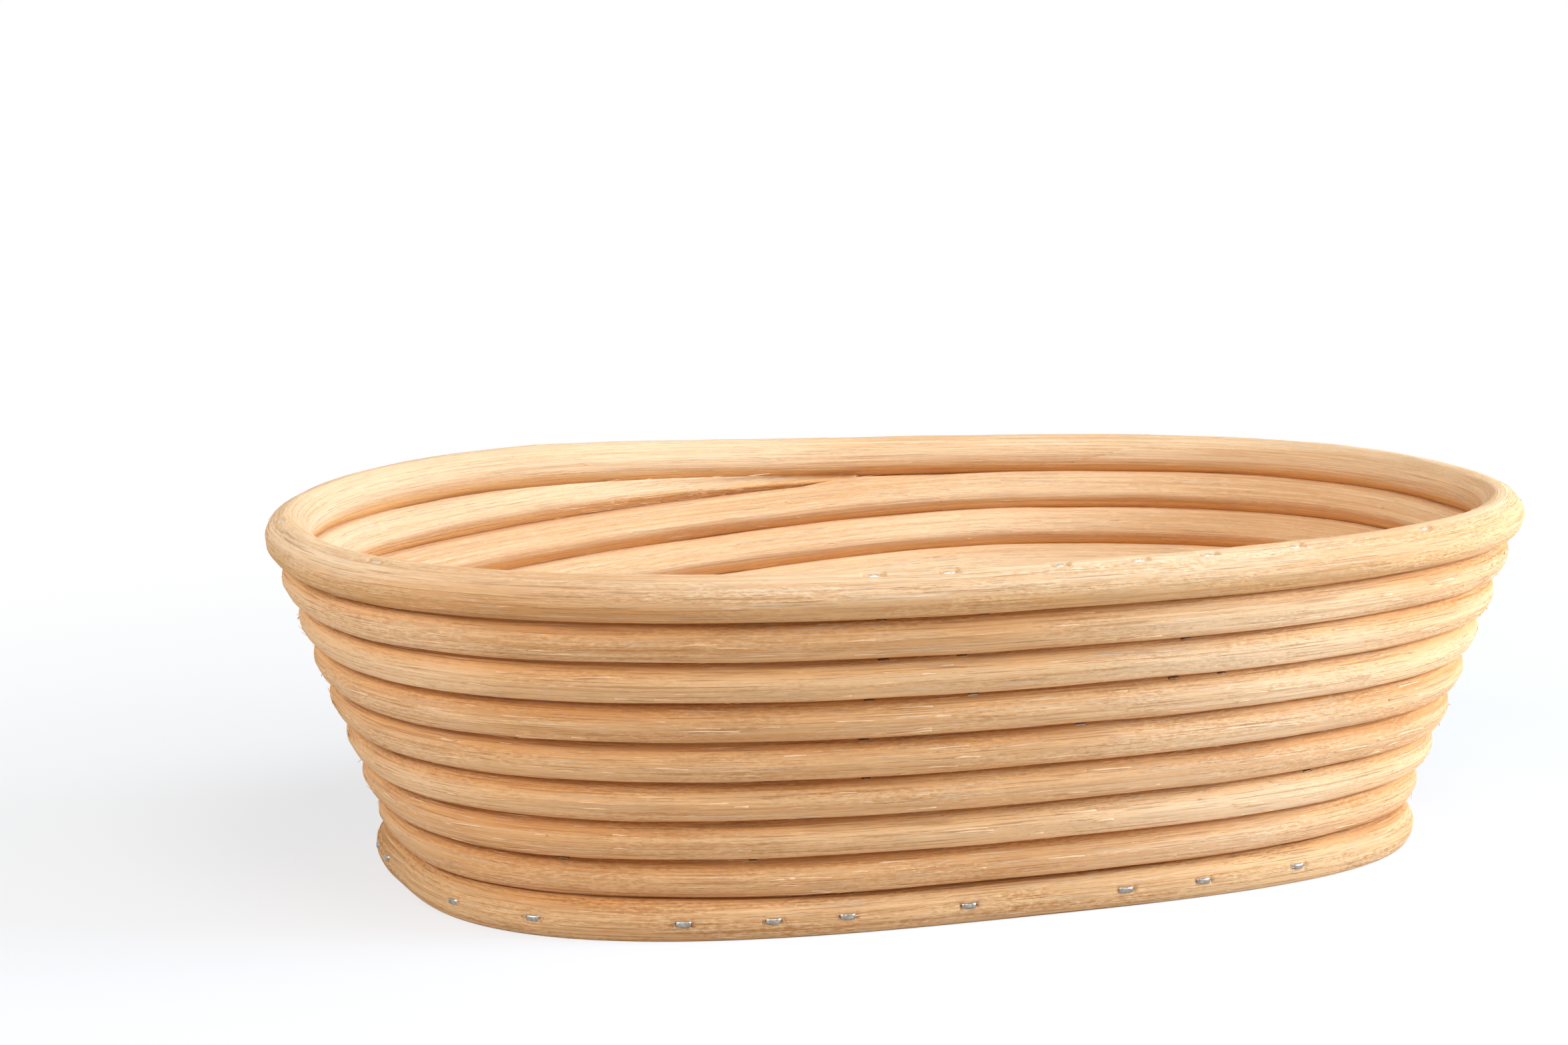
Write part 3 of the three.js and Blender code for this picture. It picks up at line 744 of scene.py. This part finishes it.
def make_ring(name, level, radius, lean, scarf_at, flat_bottom, beds, material, seed):
    """A bent cane closed by a scarf, and its slivers. Beds gives the staples' places, the way they face
    round the section, and how deep the crowns and the pits are sunk."""
    rng = np.random.default_rng(seed)
    fall = 2 * radius / SCARF_ANGLE
    tip = (SCARF_TIP + SCARF_GAP / 2) / fall
    degrees, distance = even_steps(lambda d: centres(level, d), scarf_at + tip,
                                   scarf_at + 360 + SCARF_ANGLE - tip, RING_STEP)
    centre = centres(level, degrees)
    along, out, up = axes_along(centre, lean)
    turn = 2 * math.pi * np.arange(RING_SIDES) / RING_SIDES
    local = radius + swell(level, degrees)
    ends = np.clip(np.minimum(distance, distance[-1] - distance) / SCARF_FADE, 0, 1)
    skin = cane_skin(distance, turn, local, rng, THIN_WOBBLE)
    skin = mix(local[:, None], skin, SCARF_UNEVEN + (1 - SCARF_UNEVEN) * ends[:, None])
    skin -= staple_beds(degrees, distance, turn, radius, *beds)
    start_plane = radius - (degrees - scarf_at) * fall + SCARF_GAP / 2
    close_plane = radius - (degrees - scarf_at - 360) * fall - SCARF_GAP / 2
    low = np.where(start_plane > -radius, start_plane, -UNSHAVED)
    high = np.where(close_plane < radius, close_plane, UNSHAVED)
    u, v = shave(turn, skin, low, high)
    v = np.maximum(v, flat_bottom)
    vertices = swept(centre, out, up, u, v)
    place = np.stack([np.repeat(distance, RING_SIDES), u.ravel(), v.ravel()], -1)
    shade = TONE_SIZE * waver(distance, 500, 90, 4, rng) * ends
    # Painted light: paler towards the top of the section, less so towards the right end
    fade = RIM_LIGHT_FADE * ease(centre[:, :1], RIM_LIGHT_FADE_FROM, RIM_LIGHT_FADE_TO)
    painted_light = ease(v, *RIM_LIT_HEIGHTS) * (1 - fade)
    faces = tube_faces(len(degrees), RING_SIDES)
    piece = new_object(name, vertices, faces, place, material, np.repeat(shade, RING_SIDES), painted_light.ravel())
    piece.data.set_sharp_from_angle(angle=math.radians(SHARP_ANGLE))
    path = (centre, along, out, up)
    slivers = make_splinters(name + "_slivers", path, (u, v), LYING, RING_SLIVERS, seed + 1)
    return piece, slivers


# The floor

# Unevenness, sway and tone of the slats, and how far apart the grain of each lies in the noise
SLAT_UNEVEN = 0.5
SLAT_SWAY = 0.05
SLAT_TONE = 0.10
SLAT_GRAIN_STEP = 31
SLAT_GRAIN_REACH = 1000
EDGING_TONE = 0.03
EDGING_GRAIN_STEP = 77
EDGING_GRAIN_REACH = 900
EDGING_SQUARENESS = 4.0


def floor_edge(first, last):
    """Points along the edge of the floor, which follows the base ring, between two angles round it."""
    centre = centres(0, np.linspace(first, last, EDGE_SAMPLES))
    _, out, _ = axes_along(centre, 0.0)
    edge = centre - out * (BASE_RADIUS + FLOOR_CLEARANCE)
    return edge[:, 0], edge[:, 1]


def make_slat(number, middle):
    rng = np.random.default_rng(SLAT_SEED + number)
    turn = 2 * math.pi * np.arange(SLAT_SIDES) / SLAT_SIDES
    y, z = oval_points(SLAT_HALF_WIDTH, SLAT_HALF_THICKNESS, SLAT_SQUARENESS, np.degrees(turn))
    right, right_y = floor_edge(-90, 90)
    left, left_y = floor_edge(270, 90)
    right = np.interp(middle + y, right_y, right)
    left = np.interp(middle + y, left_y, left)
    count = round((right - left).max() / SLAT_STEP)
    share = np.linspace(0, 1, count + 1)
    distance = share * (right - left).max()
    size = cane_skin(distance, turn, 1.0, rng, THIN_WOBBLE)
    size = 1 + (size - 1) * SLAT_UNEVEN
    x = mix(left, right, share[:, None])
    sway = SLAT_SWAY * waver(distance, 150, 30, 4, rng)[:, None]
    vertices = np.stack([x, middle + y * size + sway, SLAT_MIDDLE + z * size], -1).reshape(-1, 3)
    start = SLAT_GRAIN_REACH * rng.random()
    place = np.stack([x + start, y * size + SLAT_GRAIN_STEP * number, z * size], -1).reshape(-1, 3)
    tone = SLAT_TONE * (rng.random() - 0.5)
    faces = tube_faces(count + 1, SLAT_SIDES)
    return new_object(f"slat_{number:02d}", vertices, faces, place, SLAT, tone)


def make_edging(side, name):
    rng = np.random.default_rng(EDGING_SEED + side)
    count = round(2 * EDGING_REACH / SLAT_STEP)
    x = np.linspace(-EDGING_REACH, EDGING_REACH, count + 1)
    outer = side * np.interp(x, *floor_edge(180, 180 - 180 * side))
    turn = 2 * math.pi * np.arange(SLAT_SIDES) / SLAT_SIDES
    across, z = oval_points(1.0, SLAT_HALF_THICKNESS, EDGING_SQUARENESS, np.degrees(turn))
    half = ((outer - EDGING_INNER) / 2)[:, None]
    y = EDGING_INNER + half + half * across[None, :]
    points = np.stack(np.broadcast_arrays(x[:, None], y * side, SLAT_MIDDLE + z), -1)
    start = EDGING_GRAIN_REACH * rng.random()
    place = np.stack([points[..., 0] + start, y + EDGING_GRAIN_STEP * side, points[..., 2]], -1)
    faces = tube_faces(count + 1, SLAT_SIDES, flip=side < 0)
    return new_object(name, points.reshape(-1, 3), faces, place.reshape(-1, 3), SLAT, EDGING_TONE)


# Staples

STAPLE_BEND = 0.85
BEND_ANGLES = (0.4, 0.8, 1.2)
CROWN_ARCH = 0.06
WIRE_SQUARENESS = 4.0


def make_staple(name, centre, along, axis, leg=STAPLE_LEG, width=WIRE_WIDTH, material=WIRE):
    """A bent wire staple with its crown's top at a point, legs against the axis."""
    half = STAPLE_CROWN / 2 - WIRE_THICKNESS / 2
    bend = STAPLE_BEND
    arc = [(bend * (1 - math.cos(a)), -bend + bend * math.sin(a)) for a in BEND_ANGLES]
    path = [(-half, -leg), (-half, -bend)]
    path += [(-half + x, z) for x, z in arc]
    path += [(-half + bend, 0.0), (0.0, CROWN_ARCH), (half - bend, 0.0)]
    path += [(half - x, z) for x, z in reversed(arc)]
    path += [(half, -bend), (half, -leg)]
    path = np.array(path)
    ahead = unit(np.gradient(path, axis=0))
    normal = np.stack([-ahead[:, 1], ahead[:, 0]], -1)
    turn = 2 * math.pi * (np.arange(WIRE_SIDES) + 0.5) / WIRE_SIDES
    wide, thick = oval_points(width / 2, WIRE_THICKNESS / 2, WIRE_SQUARENESS, np.degrees(turn))
    side = np.cross(along, axis)
    flat = path[:, None, :] + thick[None, :, None] * normal[:, None, :]
    points = centre + flat[..., :1] * along + (flat[..., 1:] - WIRE_THICKNESS / 2) * axis
    points = points + np.broadcast_to(wide[None, :, None], flat[..., :1].shape) * side
    faces = tube_faces(len(path), WIRE_SIDES)
    return new_object(name, points.reshape(-1, 3), faces, points.reshape(-1, 3), material)


def ring_station(level, degrees, lean):
    """Centre of a ring at an angle, and its directions along, flat outwards and up with the lean."""
    points = centres(level, np.array([degrees - STATION_STEP, degrees, degrees + STATION_STEP]))
    along = unit(points[2] - points[0])
    flat = unit(np.cross(along, (0, 0, 1)))
    up = flat * math.sin(lean) + np.array((0, 0, 1)) * math.cos(lean)
    return points[1], along, flat, up


def make_staples():
    for i, degrees in enumerate(BASE_STAPLES_AT):
        centre, along, flat, up = ring_station(0, degrees, 0.0)
        crown = centre + flat * (BASE_RADIUS - BASE_STAPLE_DEPTH) + up * BASE_STAPLE_RAISE
        piece = make_staple(f"base_clip_{i + 1:02d}", crown, along, flat)
        finish_piece(piece, "staple_wire", f"base_staple_{i + 1:02d}")
    for i, degrees in enumerate(RIM_STAPLES_AT):
        centre, along, _, up = ring_station(RIM_LEVEL, degrees, LEAN)
        crown = centre + up * (RIM_RADIUS + swell(RIM_LEVEL, degrees) - RIM_STAPLE_DEPTH)
        piece = make_staple(f"rim_clip_{i + 1:02d}", crown, along, up, material=PALE_WIRE)
        finish_piece(piece, "staple_wire", f"rim_staple_{i + 1:02d}")


def make_groove_staples():
    """Staples low in the grooves, through the upper side of a turn."""
    for i, (level, degrees) in enumerate(GROOVE_STAPLES_AT):
        run = CLIMB_FROM - degrees
        run += 360 * (level - 1 - math.floor(run / 360))
        near = winding_centres(np.array([run - STATION_STEP, run, run + STATION_STEP]))
        along = unit(near[2] - near[0])
        flat = unit(np.cross(along, (0, 0, 1)))
        flat *= np.sign(flat[:2] @ near[1][:2])
        tilt = LEAN + math.radians(GROOVE_STAPLE_TILT)
        axis = unit(flat * math.sin(tilt) + np.array((0, 0, 1)) * math.cos(tilt))
        axis = unit(axis - along * (axis @ along))
        crown = near[1] + axis * (WALL_RADIUS + GROOVE_STAPLE_RAISE)
        # Most groove staples get the dark wire with painted shade
        material = WIRE if i in BRIGHT_GROOVE_STAPLES else SHADED_GROOVE_WIRE
        piece = make_staple(f"groove_clip_{i + 1:02d}", crown, along, axis,
                            GROOVE_STAPLE_LEG, GROOVE_WIRE_WIDTH, material)
        finish_piece(piece, "staple_wire")


def make_floor_and_rings():
    outwards = math.pi / 2 - BASE_STAPLE_RAISE / BASE_RADIUS
    beds = (BASE_STAPLES_AT, outwards, BASE_STAPLE_DEPTH, BASE_PIT_DEPTH)
    base, slivers = make_ring("base_hoop", 0, BASE_RADIUS, 0.0, BASE_SCARF_AT, -BASE_HEIGHT,
                              beds, BASE, BASE_SEED)
    finish_piece(base, "base_cane", "base_ring")
    finish_piece(slivers, "base_cane")
    beds = (RIM_STAPLES_AT, 0.0, RIM_STAPLE_DEPTH, RIM_PIT_DEPTH)
    rim, slivers = make_ring("rim_hoop", RIM_LEVEL, RIM_RADIUS, LEAN, RIM_SCARF_AT, -2 * RIM_RADIUS,
                             beds, RIM, RIM_SEED)
    finish_piece(rim, "rim_cane", "rim_ring")
    finish_piece(slivers, "rim_cane")
    for i in range(SLAT_COUNT):
        slat = make_slat(i + 1, (i - (SLAT_COUNT - 1) / 2) * SLAT_PITCH)
        finish_piece(slat, "slat_cane", f"floor_slat_{i + 1:02d}")
    finish_piece(make_edging(-1, "edging_near"), "slat_cane", "edging_slat_near")
    finish_piece(make_edging(1, "edging_far"), "slat_cane", "edging_slat_far")


# Camera, light and floor

# Place in millimetres, angles in degrees
CAMERA_PLACE = (-309.54, -740.53, 202.0)
CAMERA_YAW = -20.750
CAMERA_ELEVATION = 9.244
CAMERA_LENS = 85.055
SENSOR_WIDTH = 36.0
CLIP_START = 0.01
# Lamps, in metres and watts: name, place, size, power and colour
LAMPS = (("key_right", (1.38, -0.22, 0.58), 0.6, 15.2, (0.89, 1.0, 1.18)),
         ("near_right", (0.62, -0.38, 0.32), 0.3, 5.6, (0.75, 1.0, 1.36)),
         ("fill_left", (-1.00, -0.32, 0.78), 0.6, 11.0, (0.94, 1.0, 1.10)),
         ("top_front", (0.05, -0.66, 1.14), 0.8, 6.6, (1.0, 0.99, 0.98)))
LAMP_TARGET = (0, 0, 0.05)
WHITE = (1, 1, 1, 1)
WORLD_LIGHT = 0.20
# Floor: half size in metres, colour, and where and how far its own look gives way to plain white
FLOOR_HALF = 4.0
FLOOR_COLOUR = (0.72, 0.72, 0.72, 1)
FLOOR_ROUGHNESS = 0.9
WHITE_FROM = 0.14
WHITE_TO = 0.42
LEAST_WHITE = 0.62


def make_camera():
    data = bpy.data.cameras.new("camera")
    data.lens = CAMERA_LENS
    data.sensor_width = SENSOR_WIDTH
    data.sensor_fit = "HORIZONTAL"
    data.clip_start = CLIP_START
    camera = bpy.data.objects.new("camera", data)
    yaw = math.radians(CAMERA_YAW)
    tilt = math.radians(CAMERA_ELEVATION)
    back = Vector((math.sin(yaw) * math.cos(tilt), -math.cos(yaw) * math.cos(tilt), math.sin(tilt)))
    right = Vector((math.cos(yaw), math.sin(yaw), 0))
    up = back.cross(right)
    camera.matrix_world = Matrix((right, up, back)).transposed().to_4x4()
    camera.location = Vector(CAMERA_PLACE) * MM
    bpy.context.collection.objects.link(camera)
    bpy.context.scene.camera = camera


def area_light(name, place, size, power, colour):
    data = bpy.data.lights.new(name, "AREA")
    data.shape = "DISK"
    data.size = size
    data.energy = power
    data.color = colour
    lamp = bpy.data.objects.new(name, data)
    lamp.location = place
    aim = Vector(LAMP_TARGET) - Vector(place)
    lamp.rotation_euler = aim.to_track_quat("-Z", "Y").to_euler()
    bpy.context.collection.objects.link(lamp)


def seen_directly(tree):
    """One for rays from the camera, and for those off metal or through glass."""
    path = tree.nodes.new("ShaderNodeLightPath")
    seen = maths(tree, "MAXIMUM", path.outputs["Is Camera Ray"], path.outputs["Is Glossy Ray"])
    return maths(tree, "MAXIMUM", seen, path.outputs["Is Transmission Ray"])


def make_world():
    world = bpy.data.worlds.new("studio")
    world.use_nodes = True
    bpy.context.scene.world = world
    tree = world.node_tree
    light = tree.nodes["Background"]
    light.inputs["Color"].default_value = WHITE
    light.inputs["Strength"].default_value = WORLD_LIGHT
    white = tree.nodes.new("ShaderNodeBackground")
    white.inputs["Color"].default_value = WHITE
    white.inputs["Strength"].default_value = 1.0
    choice = tree.nodes.new("ShaderNodeMixShader")
    tree.links.new(seen_directly(tree), choice.inputs["Fac"])
    tree.links.new(light.outputs["Background"], choice.inputs[1])
    tree.links.new(white.outputs["Background"], choice.inputs[2])
    tree.links.new(choice.outputs["Shader"], tree.nodes["World Output"].inputs["Surface"])


def make_floor():
    material = bpy.data.materials.new("pale_floor")
    material.use_nodes = True
    tree = material.node_tree
    shader = tree.nodes["Principled BSDF"]
    shader.inputs["Base Color"].default_value = FLOOR_COLOUR
    shader.inputs["Roughness"].default_value = FLOOR_ROUGHNESS
    shader.inputs["Specular IOR Level"].default_value = 0.0
    glow = tree.nodes.new("ShaderNodeEmission")
    glow.inputs["Strength"].default_value = 1.0
    choice = tree.nodes.new("ShaderNodeMixShader")
    away = node(tree, "ShaderNodeVectorMath", operation="LENGTH")
    tree.links.new(node(tree, "ShaderNodeTexCoord").outputs["Object"], away.inputs[0])
    share = eased(tree, away.outputs["Value"], WHITE_FROM, WHITE_TO, LEAST_WHITE)
    seen = maths(tree, "MULTIPLY", seen_directly(tree), share)
    tree.links.new(seen, choice.inputs["Fac"])
    tree.links.new(shader.outputs["BSDF"], choice.inputs[1])
    tree.links.new(glow.outputs["Emission"], choice.inputs[2])
    tree.links.new(choice.outputs["Shader"], tree.nodes["Material Output"].inputs["Surface"])
    half = FLOOR_HALF
    mesh = bpy.data.meshes.new("floor")
    corners = [(-half, -half, 0), (half, -half, 0), (half, half, 0), (-half, half, 0)]
    mesh.from_pydata(corners, [], [(0, 1, 2, 3)])
    mesh.materials.append(material)
    floor = bpy.data.objects.new("floor", mesh)
    bpy.context.collection.objects.link(floor)


make_camera()
make_world()
make_floor()
for lamp_settings in LAMPS:
    area_light(*lamp_settings)
make_wall_cane()
make_floor_and_rings()
make_staples()
make_groove_staples()

bpy.context.scene.view_settings.view_transform = "Standard"
